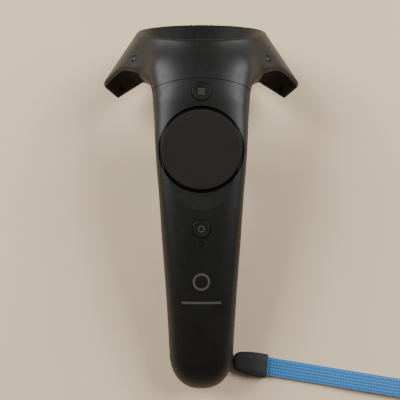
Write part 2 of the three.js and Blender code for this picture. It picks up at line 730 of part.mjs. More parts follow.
add(controller, 'trigger_click_switch', box(...CLICK_SWITCH), BLACK, 0.4);
for (const [side, name] of [[-1, 'left'], [1, 'right']]) {
  add(controller, `grip_button_${name}`, gripButton(side), CHARCOAL, 0.5);
  add(controller, `grip_switch_${name}`, gripSwitch(side), BLACK, 0.4);
}
add(controller, 'main_board', mainBoard(), BOARD_GREEN, 0.5);
add(controller, 'radio_shield', box(...RADIO_SHIELD), STEEL, 0.35, 1);
add(controller, 'antenna', box(...ANTENNA), 0xa5743a, 0.4);
add(controller, 'battery', box(...BATTERY), 0x8f9499, 0.4);
add(controller, 'haptic_motor', box(...HAPTIC_MOTOR), STEEL, 0.35, 1);
add(controller, 'usb_receptacle', usbReceptacle(), STEEL, 0.3, 1);
SCREWS.forEach((place, index) => {
  add(controller, `case_screw_${index + 1}`, caseScrew(place), STEEL, 0.3, 1);
});
add(controller, 'lanyard_bar',
  rodAlongY(BAR.radius, BAR.x, [BAR.back, BAR.front], BAR.z), STEEL, 0.3, 1);

// ---- The wrist strap, in the resting frame ----

// Solids drawn along +X from the strap's start, turned to the strap's heading.
function laidAlongStrap(geometry) {
  geometry.rotateZ(THREE.MathUtils.degToRad(STRAP.heading));
  geometry.translate(STRAP.x, STRAP.y, 0);
  return solidOf(geometry);
}

function strapBox(x, halfWidth, z) {
  const geometry = new THREE.BoxGeometry(x[1] - x[0], 2 * halfWidth, z[1] - z[0]);
  geometry.translate((x[0] + x[1]) / 2, 0, (z[0] + z[1]) / 2);
  return laidAlongStrap(geometry);
}

function curveThrough(route) {
  return new THREE.CatmullRomCurve3(route.map((point) => new THREE.Vector3(...point)));
}

// A flat band along a route, turned about its own centre line by twist(share).
function ribbon(route, steps, thickness, twist) {
  const curve = curveThrough(route);
  const sections = Array.from({ length: steps + 1 }, (_, i) => {
    const centre = curve.getPointAt(i / steps);
    const tangent = curve.getTangentAt(i / steps);
    const level = new THREE.Vector3(-tangent.y, tangent.x, 0).normalize();
    const across = level.applyAxisAngle(tangent, twist(i / steps));
    const upward = new THREE.Vector3().crossVectors(tangent, across);
    return [[1, 1], [-1, 1], [-1, -1], [1, -1]].map(([a, b]) => centre.clone()
      .addScaledVector(across, (a * WEBBING.width) / 2)
      .addScaledVector(upward, (b * thickness) / 2));
  });
  return loft(sections);
}

// Half a turn in all: flat at the slider, on edge round the loop, and flat again.
function loopTwist(share) {
  const quarter = Math.PI / 2;
  const eased = (u) => THREE.MathUtils.smoothstep(u, 0, 1);
  return -quarter * (eased(share / TWIST_SHARE) + eased((share - 1 + TWIST_SHARE) / TWIST_SHARE));
}

function strapSleeve() {
  const sections = [[0, 0.55, 0.7], [1.2, 0.72, 0.86], [4, 0.86, 0.95], [9, 0.97, 1], [SLEEVE.length, 1, 1]];
  const heading = THREE.MathUtils.degToRad(STRAP.heading);
  const rings = sections.map(([x, wide, high]) => Array.from({ length: 16 }, (_, k) => {
    const angle = (2 * Math.PI * k) / 16;
    const [c, s] = [Math.cos(angle), Math.sin(angle)];
    const y = (SLEEVE.width / 2) * wide * Math.sign(c) * Math.abs(c) ** 0.6;
    const z = SLEEVE.height / 2 + 0.05 + (SLEEVE.height / 2) * high * Math.sign(s) * Math.abs(s) ** 0.7;
    const point = new THREE.Vector3(x, y, z).applyAxisAngle(new THREE.Vector3(0, 0, 1), heading);
    return point.add(new THREE.Vector3(STRAP.x, STRAP.y, 0));
  }));
  return loft(rings);
}

function strapSlider() {
  const [slotWidth, slotHeight] = SLIDER.slot;
  const [back, front] = [SLIDER.start, SLIDER.start + SLIDER.length];
  const bottom = SLIDER.floor + 0.1;
  const body = strapBox([back, front], SLIDER.width / 2, [0.05, 2 * SLIDER.floor + slotHeight]);
  const slot = strapBox([back - 5, front + 5], slotWidth / 2, [bottom, bottom + slotHeight]);
  return cut(body, slot);
}

const STRAP_BLUE = 0x4a8cc8;
add(root, 'lanyard_cord', tube(curveThrough(LANYARD_ROUTE), LANYARD_RADIUS, 44, 8), BLACK, 0.8);
add(root, 'strap_sleeve', strapSleeve(), 0x202022, 0.7);
add(root, 'strap_webbing', ribbon(WEBBING_ROUTE, 22, 2 * WEBBING.thickness, () => 0), STRAP_BLUE, 0.9);
add(root, 'strap_slider', strapSlider(), BLACK, 0.5);
add(root, 'wrist_loop', ribbon(LOOP_ROUTE, 72, WEBBING.thickness, loopTwist), STRAP_BLUE, 0.9);

// Tilted to rest on the tail and the ring, with the origin under the middle of its box.
controller.rotation.x = rest.slope;
controller.updateMatrixWorld(true);
const bounds = new THREE.Box3().setFromObject(controller, true);
controller.position.set(0, -(bounds.min.y + bounds.max.y) / 2, -bounds.min.z);

export default root;
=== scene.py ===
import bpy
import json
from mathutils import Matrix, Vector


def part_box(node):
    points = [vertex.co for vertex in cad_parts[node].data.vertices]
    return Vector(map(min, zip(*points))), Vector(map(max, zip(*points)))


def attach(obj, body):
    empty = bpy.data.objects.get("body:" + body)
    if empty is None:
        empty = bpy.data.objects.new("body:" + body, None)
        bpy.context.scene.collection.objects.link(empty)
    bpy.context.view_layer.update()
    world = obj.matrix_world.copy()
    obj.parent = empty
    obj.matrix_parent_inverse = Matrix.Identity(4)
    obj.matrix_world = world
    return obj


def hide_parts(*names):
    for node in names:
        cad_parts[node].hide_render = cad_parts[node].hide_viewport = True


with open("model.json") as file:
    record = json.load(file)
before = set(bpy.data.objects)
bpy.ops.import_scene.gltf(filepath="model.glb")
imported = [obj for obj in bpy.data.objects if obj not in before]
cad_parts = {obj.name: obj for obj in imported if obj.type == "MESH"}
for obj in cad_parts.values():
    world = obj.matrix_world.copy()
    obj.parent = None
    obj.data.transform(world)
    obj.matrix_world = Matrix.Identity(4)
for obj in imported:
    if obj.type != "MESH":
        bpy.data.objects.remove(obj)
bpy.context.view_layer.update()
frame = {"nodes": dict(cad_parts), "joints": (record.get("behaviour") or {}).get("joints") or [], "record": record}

# A hand-held VR motion controller and its wrist strap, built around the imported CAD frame.
#
# Shapes are drawn in millimetres in the handle's frame: +X right, +Y to the ring, +Z out of the
# control face. HANDLE places that frame on the resting controller, in metres.

import json
import math

import bpy
import numpy as np
import openvdb
from mathutils import Matrix, Vector

# ---- Driving dimensions: millimetres and degrees, in the handle's frame ----

MM = 0.001
GAP = 0.3
WALL = 2.2
PARTING_Z = -11
MIDDLE_Z = -13
TRIGGER_PIVOT = (0, 35, -24)

# The handle's shape along Y: a place and a value.
HALF_WIDTH = [
    (-80, 16.7), (-52, 18.3), (-26, 20.2), (0, 21.9), (25, 23.8), (47, 24.9), (57, 26.2), (66, 28.4),
    (75, 27),
]
TOP = [(-80, -0.8), (-52, 0), (-26, 0), (0, 0), (30, 0), (56, 0), (66, -1.6), (75, -4.8)]
BOTTOM = [(-80, -27), (-52, -29), (-26, -30.5), (0, -32.5), (25, -35), (47, -36), (62, -34.5), (75, -26)]
# How square the section's shoulders are above its middle, and below it.
TOP_POWER = [(-80, 2.6), (-52, 3), (-26, 3.4), (0, 4.4), (25, 5), (47, 4.2), (60, 3.2), (75, 2.8)]
BOTTOM_POWER = 2.3
TAIL_START, TAIL_LENGTH, TAIL_POWER = -80, 18.8, 2.1
HANDLE_FRONT = 75
CAVITY_BACK, CAVITY_FRONT = -80, 70

# The sensor ring: a round rim that leans forward, a round throat behind it and a six-sided rear.
# Rear edges run from the top, 0, to the bottom, 1, of the right half: share, x, y, z.
RIM_CENTRE = (0, 99.6, -40.5)
RIM_LEAN = 26
RIM_SIZE = (36.6, 38.3)
THROAT_SIZE, THROAT_DEPTH = (27.5, 24.5), 13
OUTER_EDGE = [
    (0, 0, 58, -1), (0.08, 16, 58.5, -1.8), (0.167, 26.3, 61.4, -9), (0.29, 37.2, 71.7, -22),
    (0.368, 46.2, 75, -30), (0.464, 61.8, 68.2, -49), (0.722, 33, 84, -79), (1, 0, 85.5, -81.5),
]
INNER_EDGE = [
    (0, 0, 58, -30), (0.167, 22, 60, -26), (0.29, 32, 65.5, -27), (0.368, 37, 66, -33),
    (0.464, 52.6, 60.6, -52), (0.722, 28, 81.5, -68), (1, 0, 84, -70),
]
EDGE_ROUNDING = 0.03
CORNER_CUTS = (2.3, 0.7, 2.2)
RIM_CUTS = (0.6, 1.0)
RING_WALL = 2
REAR_SHELL_START = 0.27
SENSOR_BOWL, SENSOR_REACH = 3.2, 2.2

# The hull's fillets, the crown's drop beside the trackpad and above it, and the smoothing of both.
HULL_VOXEL = 0.55
NECK_FILLET = 6
CROWN_DROPS, CROWN_HALF_WIDTH = (1.0, 1.9), 22
CROWN_SPAN, CROWN_WALL, CROWN_ROUNDS = (38, 54), 2.2, 420
RIM_REACH, RIM_ROUNDS = (0.9, 2.4), 8

SEAM_CENTRE_Y, SEAM_RADIUS = -20.5, 82
PAD_Y, PAD_RADIUS, PAD_TOP, PAD_THICKNESS = 25.3, 20.25, -0.4, 2.5
BEZEL_OUTER, BEZEL_INNER, BEZEL_FLOOR, BEZEL_SUNK, BEZEL_SCOOP_DROP = 21.5, 20.55, -8, 1.0, 1.2
SCOOP_Y, SCOOP_RIM, SCOOP_RADIUS = 20.7, 26, 135
MENU_Y, MENU_RADIUS = 54.4, 4.8
SYSTEM_Y, SYSTEM_RADIUS = -14.5, 4.5
FLANGE, FLANGE_TOP, FLANGE_BOTTOM = 1.2, -3, -4.4
LIGHT_Y, LIGHT_RADIUS = -22, 0.75
EMBLEM_Y, EMBLEM_BAR_Y = -41, -51.5
EMBLEM_LINE, EMBLEM_Z = 1.2, (-0.4, 0.08)
GRIP_Y, GRIP_Z, GRIP_LENGTH, GRIP_HEIGHT = -11, -18.5, 30, 9
GRIP_PROUD, GRIP_FLANGE = 0.5, 1
TRIGGER_WIDTH = 13
TRIGGER_OPENING = ((15.2, 47.5), (-50, -20))
SCREWS = [(0, -71), (0, -2), (-15, 48), (15, 48)]
BAR_X, BAR_Z, BAR_RADIUS, BAR_SPAN = 8.5, -19.5, 1.5, (-91, -80.4)
NOTCH = ((5, 24), (-89, -82), (-40, -16))
USB_SLOT = ((-4.3, 4.3), (-110, -79), (-13.3, -8.3))

# The strap, in millimetres in the frame of the resting controller.
STRAP_X, STRAP_Y, STRAP_HEADING = 18, -98.5, -8.9
SLEEVE_SIZE = (18, 12.6, 5.2)
SLIDER_START, SLIDER_LENGTH, SLIDER_WIDTH, SLIDER_TOP = 94, 15, 14.6, 4.6
SLOT_WIDTH, SLOT_Z = 10.2, (0.9, 3.9)
WEBBING_WIDTH, WEBBING_THICKNESS = 9.6, 1.1
LANYARD_RADIUS = 0.6
TWIST_SHARE = 0.08
LANYARD_ROUTE = [
    (17.7, -97.9, 2.3), (16, -97.3, 2.4), (14, -95.6, 2.3), (11.6, -94.4, 2.8), (9.2, -94.9, 3.6),
    (7.2, -95.8, 4.3), (6.1, -96.6, 6.3), (7.1, -97.1, 8.3), (9.4, -97.6, 8.7), (11.9, -98.6, 7.9),
    (13.9, -99.6, 6.2), (15.2, -99.8, 4.5), (16.5, -99.3, 3.5), (17.7, -99.2, 3.1),
]
WEBBING_ROUTE = [
    (36.1, -101.33, 1.35), (45, -102.73, 1.35), (55, -104.29, 1.35), (65, -105.86, 1.4), (72, -106.96, 1.7),
    (79, -108.05, 2.2), (86, -109.15, 2.4), (95, -110.56, 2.4), (105, -112.12, 2.4), (115, -113.69, 2.4),
    (125.2, -115.29, 2.4),
]
LOOP_ROUTE = [
    (127.1, -115.6, 1.65), (131, -116.35, 2.3), (137, -118.2, 4.2), (146, -121.5, 4.9), (160, -124.5, 4.9),
    (178, -123, 4.9), (196, -115, 4.9), (211, -102, 4.9), (222, -86, 4.9), (228, -70, 4.9), (228, -55, 4.9),
    (220, -45, 4.9), (208, -43, 4.9), (197, -49, 4.9), (189, -61, 4.9), (181, -76, 4.9), (171, -90, 4.9),
    (158, -102, 4.9), (147, -109.5, 4.9), (137, -113.4, 4.5), (131, -115.3, 3.8), (127.1, -115.6, 3.15),
]

# The camera looks straight down the handle's Z axis, with a 36 mm sensor.
CAMERA = (-0.7, 0, 235)
SENSOR, LENS = 36, 42.3

# The lamps, in metres, and the weave's periods in millimetres.
SOFTBOX_SIZE, SOFTBOX_TARGET = 0.5, (0, 0.03, 0.04)
WEAVE_RIB, WEAVE_PLY = 1.1, 1.6

HEAD_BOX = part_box("head_cover")


def handle_matrix():
    """The handle's frame on the resting controller, from the frame's own joints."""
    joints = {joint["name"]: joint for joint in frame["joints"]}
    press = Vector(joints["trackpad_click"]["axis"])
    tilt = math.atan2(press.y, -press.z)
    turn = Matrix.Rotation(tilt, 4, "X") @ Matrix.Scale(MM, 4)
    shift = Vector(joints["trigger_pull"]["pos_m"]) - turn @ Vector(TRIGGER_PIVOT)
    return Matrix.Translation(shift) @ turn, tilt


HANDLE, TILT = handle_matrix()
TABLE = Matrix.Scale(MM, 4)


# ---- Meshes ----

def link(name, mesh):
    piece = bpy.data.objects.new(name, mesh)
    bpy.context.scene.collection.objects.link(piece)
    return piece


def form(points, faces, name="form"):
    mesh = bpy.data.meshes.new(name)
    mesh.from_pydata(np.asarray(points, dtype=float), [], [list(face) for face in faces])
    mesh.validate()
    turn_outward(mesh)
    return link(name, mesh)


def turn_outward(mesh):
    mesh.calc_loop_triangles()
    points = np.empty(len(mesh.vertices) * 3)
    mesh.vertices.foreach_get("co", points)
    corners = np.empty(len(mesh.loop_triangles) * 3, dtype=int)
    mesh.loop_triangles.foreach_get("vertices", corners)
    a, b, c = points.reshape(-1, 3)[corners.reshape(-1, 3)].transpose(1, 0, 2)
    if np.einsum("ij,ij->i", a, np.cross(b, c)).sum() < 0:
        mesh.flip_normals()


def loft(sections, closed=False, name="form"):
    """A closed skin through rings of points."""
    rings, count = len(sections), len(sections[0])
    faces = []
    for i in range(rings if closed else rings - 1):
        for k in range(count):
            near, far = i * count, (i + 1) % rings * count
            faces.append((near + k, near + (k + 1) % count, far + (k + 1) % count, far + k))
    if not closed:
        faces.append(tuple(range(count))[::-1])
        faces.append(tuple(range((rings - 1) * count, rings * count)))
    return form(np.concatenate(sections), faces, name)


def box(x, y, z, name="box"):
    corners = [(x[i], y[j], z[k]) for i in (0, 1) for j in (0, 1) for k in (0, 1)]
    faces = [(0, 1, 3, 2), (4, 6, 7, 5), (0, 4, 5, 1), (2, 3, 7, 6), (0, 2, 6, 4), (1, 5, 7, 3)]
    return form(corners, faces, name)


def turned(profile, centre=(0, 0), sides=96, name="turned"):
    """A solid turned about a line along Z; the profile starts and ends on that line."""
    angles = [2 * math.pi * k / sides for k in range(sides)]
    points, faces = [(centre[0], centre[1], profile[0][1])], []
    for radius, z in profile[1:-1]:
        points += [(centre[0] + radius * math.cos(a), centre[1] + radius * math.sin(a), z) for a in angles]
    points.append((centre[0], centre[1], profile[-1][1]))
    last = len(points) - 1
    rings = len(profile) - 2
    for k in range(sides):
        after = (k + 1) % sides
        faces.append((0, 1 + after, 1 + k))
        faces.append((last, 1 + (rings - 1) * sides + k, 1 + (rings - 1) * sides + after))
        for i in range(rings - 1):
            low, high = 1 + i * sides, 1 + (i + 1) * sides
            faces.append((low + k, low + after, high + after, high + k))
    return form(points, faces, name)


def post(radius, x, y, z, sides=64):
    return turned([(0, z[0]), (radius, z[0]), (radius, z[1]), (0, z[1])], (x, y), sides)


def prism(outline, axis, span, name="prism"):
    """An outline swept straight along an axis: 0 for X, with (y, z) points, or 2 for Z, with (x, y)."""
    sections = []
    for end in span:
        sections.append(np.array([np.insert(point, axis, end) for point in outline]))
    return loft(sections, name=name)


def arc(centre, radius, start, end, steps):
    angles = [math.radians(start + (end - start) * i / steps) for i in range(steps + 1)]
    return [(centre[0] + radius * math.cos(a), centre[1] + radius * math.sin(a)) for a in angles]


def bend(start, control, end, steps):
    """The points of a quadratic curve after its start."""
    found = []
    for i in range(1, steps + 1):
        t = i / steps
        weights = ((1 - t) ** 2, 2 * t * (1 - t), t * t)
        found.append(tuple(sum(w * p[k] for w, p in zip(weights, (start, control, end))) for k in (0, 1)))
    return found


def stadium(centre, length, height, steps=20):
    half = (length - height) / 2
    right = arc((centre[0] + half, centre[1]), height / 2, -90, 90, steps)
    return right + arc((centre[0] - half, centre[1]), height / 2, 90, 270, steps)


def boolean(target, cutter, operation, keep=False):
    modifier = target.modifiers.new("boolean", "BOOLEAN")
    modifier.solver = "MANIFOLD"
    modifier.operation = operation
    modifier.object = cutter
    depsgraph = bpy.context.evaluated_depsgraph_get()
    result = bpy.data.meshes.new_from_object(target.evaluated_get(depsgraph))
    target.modifiers.clear()
    old, target.data = target.data, result
    bpy.data.meshes.remove(old)
    if not keep:
        discard(cutter)
    return target


def cut(target, *cutters, keep=False):
    for cutter in cutters:
        boolean(target, cutter, "DIFFERENCE", keep)
    return target


def meet(target, region):
    return boolean(target, region, "INTERSECT")


def join(target, *others):
    for other in others:
        boolean(target, other, "UNION")
    return target


def discard(*pieces):
    for piece in pieces:
        bpy.data.meshes.remove(piece.data)


def copied(piece, name):
    return link(name, piece.data.copy())


def gathered(pieces, name):
    """Solids that don't touch each other, as one cutter."""
    points, faces = [], []
    for piece in pieces:
        start = len(points)
        points += [tuple(vertex.co) for vertex in piece.data.vertices]
        faces += [tuple(start + index for index in face.vertices) for face in piece.data.polygons]
    discard(*pieces)
    return form(points, faces, name)


# ---- Distance fields: fillets and rounded edges ----

def mesh_arrays(mesh):
    mesh.calc_loop_triangles()
    points = np.empty(len(mesh.vertices) * 3, dtype=np.float32)
    mesh.vertices.foreach_get("co", points)
    corners = np.empty(len(mesh.loop_triangles) * 3, dtype=np.int32)
    mesh.loop_triangles.foreach_get("vertices", corners)
    return points.reshape(-1, 3), corners.reshape(-1, 3).astype(np.uint32), None


def distance_field(arrays, voxel, outward, inward):
    points, triangles, quads = arrays
    known = {"triangles": triangles} if triangles is not None and len(triangles) else {}
    if quads is not None and len(quads):
        known["quads"] = quads
    return openvdb.FloatGrid.createLevelSetFromPolygons(
        points, transform=openvdb.createLinearTransform(voxelSize=voxel),
        exBandWidth=outward / voxel + 3, inBandWidth=inward / voxel + 3, **known)


def offset(arrays, distance, voxel):
    """The surface at a distance outside, or inside when negative, of the given one."""
    field = distance_field(arrays, voxel, max(distance, 0), max(-distance, 0))
    return field.convertToPolygons(isovalue=distance, adaptivity=0)


def from_arrays(arrays, name):
    points, triangles, quads = arrays
    faces = [*map(tuple, triangles.tolist()), *map(tuple, quads.tolist())]
    return form(points, faces, name)


def rounded(piece, radius, voxel, fillet=0):
    """The piece with its hollow corners filled to one radius and its outer edges rounded to another."""
    arrays = mesh_arrays(piece.data)
    if fillet:
        arrays = offset(offset(arrays, fillet, voxel), -fillet, voxel)
    if radius:
        arrays = offset(offset(arrays, -radius, voxel), radius, voxel)
    name = piece.name
    discard(piece)
    return from_arrays(arrays, name)


# ---- The handle's and the ring's outer forms, as in the CAD ----

def ramp(values, start, end):
    u = np.clip((values - start) / (end - start), 0, 1)
    return u * u * (3 - 2 * u)


def along(knots, y):
    """A smooth curve through the knots, with the slope at each taken from its neighbours."""
    last = len(knots) - 1
    if y <= knots[0][0]:
        return knots[0][1]
    if y >= knots[last][0]:
        return knots[last][1]
    i = next(k for k, knot in enumerate(knots) if knot[0] > y) - 1

    def slope(k):
        a, b = knots[max(k - 1, 0)], knots[min(k + 1, last)]
        return (b[1] - a[1]) / (b[0] - a[0])

    span = knots[i + 1][0] - knots[i][0]
    u = (y - knots[i][0]) / span
    return (
        (2 * u**3 - 3 * u**2 + 1) * knots[i][1] + (u**3 - 2 * u**2 + u) * span * slope(i)
        + (3 * u**2 - 2 * u**3) * knots[i + 1][1] + (u**3 - u**2) * span * slope(i + 1)
    )


def handle_section(y, inset, count):
    into = min(max((TAIL_START - y) / TAIL_LENGTH, 0), 1)
    taper = (1 - into**TAIL_POWER) ** (1 / TAIL_POWER)
    angles = 2 * np.pi * np.arange(count) / count
    c, s = np.cos(angles), np.sin(angles)
    power = np.where(s >= 0, 2 / along(TOP_POWER, y), 2 / BOTTOM_POWER)
    up = (along(TOP, y) - MIDDLE_Z) * taper - inset
    down = (MIDDLE_Z - along(BOTTOM, y)) * taper - inset
    x = (along(HALF_WIDTH, y) * taper - inset) * np.sign(c) * np.abs(c) ** power
    z = MIDDLE_Z + np.where(s >= 0, up, down) * np.sign(s) * np.abs(s) ** power
    return np.stack([x, np.full(count, float(y)), z], axis=1)


def handle_form(inset, back, front, count=144, steps=90, thicker=0):
    """The handle's form; thicker adds to the inset where the crown is lowered."""
    places = []
    if back < TAIL_START:
        places = [TAIL_START - TAIL_LENGTH * math.sin(math.radians(89 - 4 * i)) for i in range(22)]
    first = max(back, TAIL_START)
    places += [first + (front - first) * i / steps for i in range(steps + 1)]
    insets = [inset + thicker * float(ramp(y, *CROWN_SPAN)) for y in places]
    return loft([handle_section(y, value, count) for y, value in zip(places, insets)], name="handle_form")


def on_rim(across, up, depth):
    lean = math.radians(RIM_LEAN)
    return np.array([
        RIM_CENTRE[0] + across,
        RIM_CENTRE[1] - up * math.sin(lean) - depth * math.cos(lean),
        RIM_CENTRE[2] + up * math.cos(lean) - depth * math.sin(lean),
    ])


def oval(share, size, depth):
    angle = math.pi * (0.5 - share)
    return on_rim(size[0] * math.cos(angle), size[1] * math.sin(angle), depth)


def straight_along(edge, share):
    mirrored = -share if share < 0 else 2 - share if share > 1 else share
    i = max(next(k for k, knot in enumerate(edge) if knot[0] >= mirrored) - 1, 0)
    u = (mirrored - edge[i][0]) / (edge[i + 1][0] - edge[i][0])
    point = np.array([edge[i][k] + u * (edge[i + 1][k] - edge[i][k]) for k in (1, 2, 3)])
    return point * (-1, 1, 1) if mirrored != share else point


def rounded_along(edge, share, samples=9):
    offsets = EDGE_ROUNDING * np.linspace(-1, 1, samples)
    return np.mean([straight_along(edge, share + value) for value in offsets], axis=0)


def ring_corners(share):
    """The ring's section at a share 0 to 2 of the way round: rim, outer edge, inner edge, throat."""
    half = 2 - share if share > 1 else share
    corners = np.array([
        oval(half, RIM_SIZE, 0), rounded_along(OUTER_EDGE, half),
        rounded_along(INNER_EDGE, half), oval(half, THROAT_SIZE, THROAT_DEPTH),
    ])
    return corners * (-1, 1, 1) if share > 1 else corners


def unit(vector):
    return vector / np.linalg.norm(vector)


def inset_corners(corners, inset):
    found = []
    for k in range(4):
        before, after = unit(corners[k - 1] - corners[k]), unit(corners[(k + 1) % 4] - corners[k])
        half_angle = math.acos(np.clip(before @ after, -1, 1)) / 2
        found.append(corners[k] + unit(before + after) * inset / math.sin(half_angle))
    return np.array(found)


def softened(corners, cuts, steps=5):
    """The section with each corner replaced by a short curve."""
    found = []
    for k in range(4):
        before, after = unit(corners[k - 1] - corners[k]), unit(corners[(k + 1) % 4] - corners[k])
        start, end = corners[k] + before * cuts[k], corners[k] + after * cuts[k]
        for i in range(steps + 1):
            t = i / steps
            found.append((1 - t) ** 2 * start + 2 * t * (1 - t) * corners[k] + t * t * end)
    return np.array(found)


def ring_form(steps=240):
    """The whole ring, with a rim that is crisp at the top and softer at the bottom."""
    sections = []
    for i in range(steps):
        share = 2 * i / steps
        from_top = min(share, 2 - share)
        rim_cut = RIM_CUTS[0] + (RIM_CUTS[1] - RIM_CUTS[0]) * from_top
        sections.append(softened(ring_corners(share), (rim_cut, *CORNER_CUTS)))
    return loft(sections, closed=True, name="ring_form")


def ring_hollow(steps=160):
    sections = [inset_corners(ring_corners(2 * i / steps), RING_WALL) for i in range(steps)]
    return loft(sections, closed=True, name="ring_hollow")


def rear_region(shift, steps=180):
    start = REAR_SHELL_START + (0.002 if shift < 0 else 0)
    sections = []
    for i in range(steps + 1):
        front, outer, inner, throat = ring_corners(start + (2 - 2 * start) * i / steps)
        rearward, inward = unit(outer - front), unit(inner - outer)
        at_edge = outer + inward * (2.4 - shift)
        at_throat = throat + 0.12 * (inner - throat) - inward * shift
        beyond = (at_edge + rearward * 6, inner + rearward * 6 + inward * 6, at_throat + inward * 6)
        sections.append(np.array([at_edge, *beyond, at_throat]))
    return loft(sections, name="rear_region")


# Which two of the section's corners a row lies between, how far from one to the other, and its shares.
SENSOR_ROWS = [
    ((0, 1), 0.7, (0.31,)), ((0, 1), 0.5, (0.5, 0.62, 0.8)), ((1, 2), 0.78, (0.412,)),
    ((1, 2), 0.55, (0.66, 0.86)), ((2, 3), 0.4, (0.55, 0.75)), ((3, 0), 0.5, (0.15, 0.3)),
]


def on_face(share, face, across):
    corners = ring_corners(share)
    return corners[face[0]] * (1 - across) + corners[face[1]] * across


def sensor_dimple(share, face, across, side):
    """A ball that cuts a shallow round hollow where a light sensor looks out."""
    corners, spot = ring_corners(share), on_face(share, face, across)
    onward = on_face(share + 0.02, face, across) - on_face(share - 0.02, face, across)
    normal = unit(np.cross(corners[face[1]] - corners[face[0]], onward))
    outward = normal if normal @ (spot - corners.mean(axis=0)) > 0 else -normal
    centre = spot + outward * math.sqrt(SENSOR_BOWL**2 - SENSOR_REACH**2)
    centre[0] *= side
    angles = [math.radians(a) for a in range(0, 181, 9)]
    profile = [(max(SENSOR_BOWL * math.sin(a), 0), -SENSOR_BOWL * math.cos(a)) for a in angles]
    ball = turned(profile, sides=40)
    ball.data.transform(Matrix.Translation(centre))
    return ball


def sensor_dimples():
    """Two cutters, one for every other dimple, so that neighbours never touch inside one cutter."""
    balls = [sensor_dimple(share, face, across, side)
             for face, across, shares in SENSOR_ROWS for share in shares for side in (-1, 1)]
    return [gathered(balls[0::2], "dimples"), gathered(balls[1::2], "dimples")]


# ---- Regions that part the casing ----

def head_region(shift):
    radius = SEAM_RADIUS + shift
    angle = math.degrees(math.asin(70 / radius))
    outline = [(-70, 150), (70, 150), *arc((0, SEAM_CENTRE_Y), radius, 90 - angle, 90 + angle, 90)]
    return prism(outline, 2, (-120, 40), "head_region")


def below_the_table():
    slab = box((-100, 100), (-200, 200), (-40, 0), "below_the_table")
    slab.data.transform(HANDLE.inverted() @ TABLE)
    return slab


def cad_box():
    """The room the CAD's head takes, so that no rounding reaches past it."""
    low, high = [[value / MM for value in corner] for corner in HEAD_BOX]
    limits = box((low[0], high[0]), (-200, high[1]), (-5, high[2]), "cad_box")
    limits.data.transform(HANDLE.inverted() @ TABLE)
    return limits


def scoop():
    """A shallow dish that lets a thumb find the trackpad's lower edge."""
    centre_z = math.sqrt(SCOOP_RADIUS**2 - SCOOP_RIM**2)
    radii = [SCOOP_RIM * i / 26 * 1.12 for i in range(27)]
    profile = [(r, centre_z - math.sqrt(SCOOP_RADIUS**2 - r * r)) for r in radii]
    return turned([*profile, (radii[-1], 8), (0, 8)], (0, SCOOP_Y), 160, "scoop")


def grip_column(side, margin, x):
    """An upright stadium on one side, grown by a margin, between two distances from the middle."""
    outline = stadium((GRIP_Y, GRIP_Z), GRIP_LENGTH + 2 * margin, GRIP_HEIGHT + 2 * margin)
    return prism(outline, 0, x if side > 0 else (-x[1], -x[0]), "grip_column")


def screw_seat(x, y):
    """How high a screw's head sits, a little inside the lower shell's skin."""
    drop = (1 - (abs(x) / along(HALF_WIDTH, y)) ** BOTTOM_POWER) ** (1 / BOTTOM_POWER)
    return MIDDLE_Z - (MIDDLE_Z - along(BOTTOM, y)) * drop + 2.6


def rod_along_y(radius, x, span, z, sides=32):
    outline = arc((x, z), radius, 0, 360 - 360 / sides, sides - 1)
    return loft([np.array([(px, y, pz) for px, pz in outline]) for y in span], name="rod")


def rod_along_x(radius, span, y, z, sides=48):
    return prism(arc((y, z), radius, 0, 360 - 360 / sides, sides - 1), 0, span, "rod")


def place(piece, body, look, *nodes, matrix=HANDLE, crease=32):
    """Puts a finished millimetre mesh on the controller and lets it ride with a body."""
    piece.data.transform(matrix)
    for polygon in piece.data.polygons:
        polygon.use_smooth = True
    piece.data.set_sharp_from_angle(angle=math.radians(crease))
    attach(piece, body)
    if nodes:
        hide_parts(*nodes)
    wear(piece, LOOKS[look].material)
    return piece


# ---- Casing ----

def outer_hull():
    forms = gathered([handle_form(0, TAIL_START - TAIL_LENGTH, HANDLE_FRONT), ring_form()], "hull")
    hull = rounded(forms, 0, HULL_VOXEL, fillet=NECK_FILLET)
    ease_crown(hull)
    cut(hull, scoop(), below_the_table())
    return meet(hull, cad_box())


def ease_crown(hull):
    """Melts the handle's shoulders into the head, so that the crown above the trackpad is one surface."""
    mesh = hull.data
    points = np.empty(len(mesh.vertices) * 3)
    mesh.vertices.foreach_get("co", points)
    points = points.reshape(-1, 3)
    ends = np.empty(len(mesh.edges) * 2, dtype=int)
    mesh.edges.foreach_get("vertices", ends)
    ends = ends.reshape(-1, 2)
    points[:, 2] -= crown_drop(points)
    relax(points, ends, crown_weight(points), CROWN_ROUNDS)
    relax(points, ends, 1 - ramp(from_rim(points), *RIM_REACH), RIM_ROUNDS)
    mesh.vertices.foreach_set("co", points.ravel())
    mesh.update()


def crown_drop(points):
    """How much lower the face is at its sides, growing towards the head."""
    x, y, z = points.T
    beside, above = CROWN_DROPS
    drop = beside * (0.3 + 0.7 * ramp(y, -40, 15)) + (above - beside) * ramp(y, 28, 48)
    return drop * (x / CROWN_HALF_WIDTH) ** 2 * ramp(z, -10, -4) * (1 - ramp(y, 62, 74))


def crown_weight(points):
    """1 on the crown between the trackpad and the rim, fading to 0 around it."""
    x, y, z = points.T
    rim_line = RIM_CENTRE[1] - (z - RIM_CENTRE[2]) * math.tan(math.radians(RIM_LEAN))
    along_crown = ramp(y, 50, 60) * (1 - ramp(y - rim_line, -6, -2))
    return along_crown * ramp(z, -24, -15) * (1 - ramp(abs(x), 33, 40))


def from_rim(points):
    """How far each point is from the rim's line, nearly."""
    lean = math.radians(RIM_LEAN)
    x, y, z = (points - RIM_CENTRE).T
    up = z * math.cos(lean) - y * math.sin(lean)
    depth = -y * math.cos(lean) - z * math.sin(lean)
    return np.hypot((np.hypot(x / RIM_SIZE[0], up / RIM_SIZE[1]) - 1) * RIM_SIZE[0], depth)


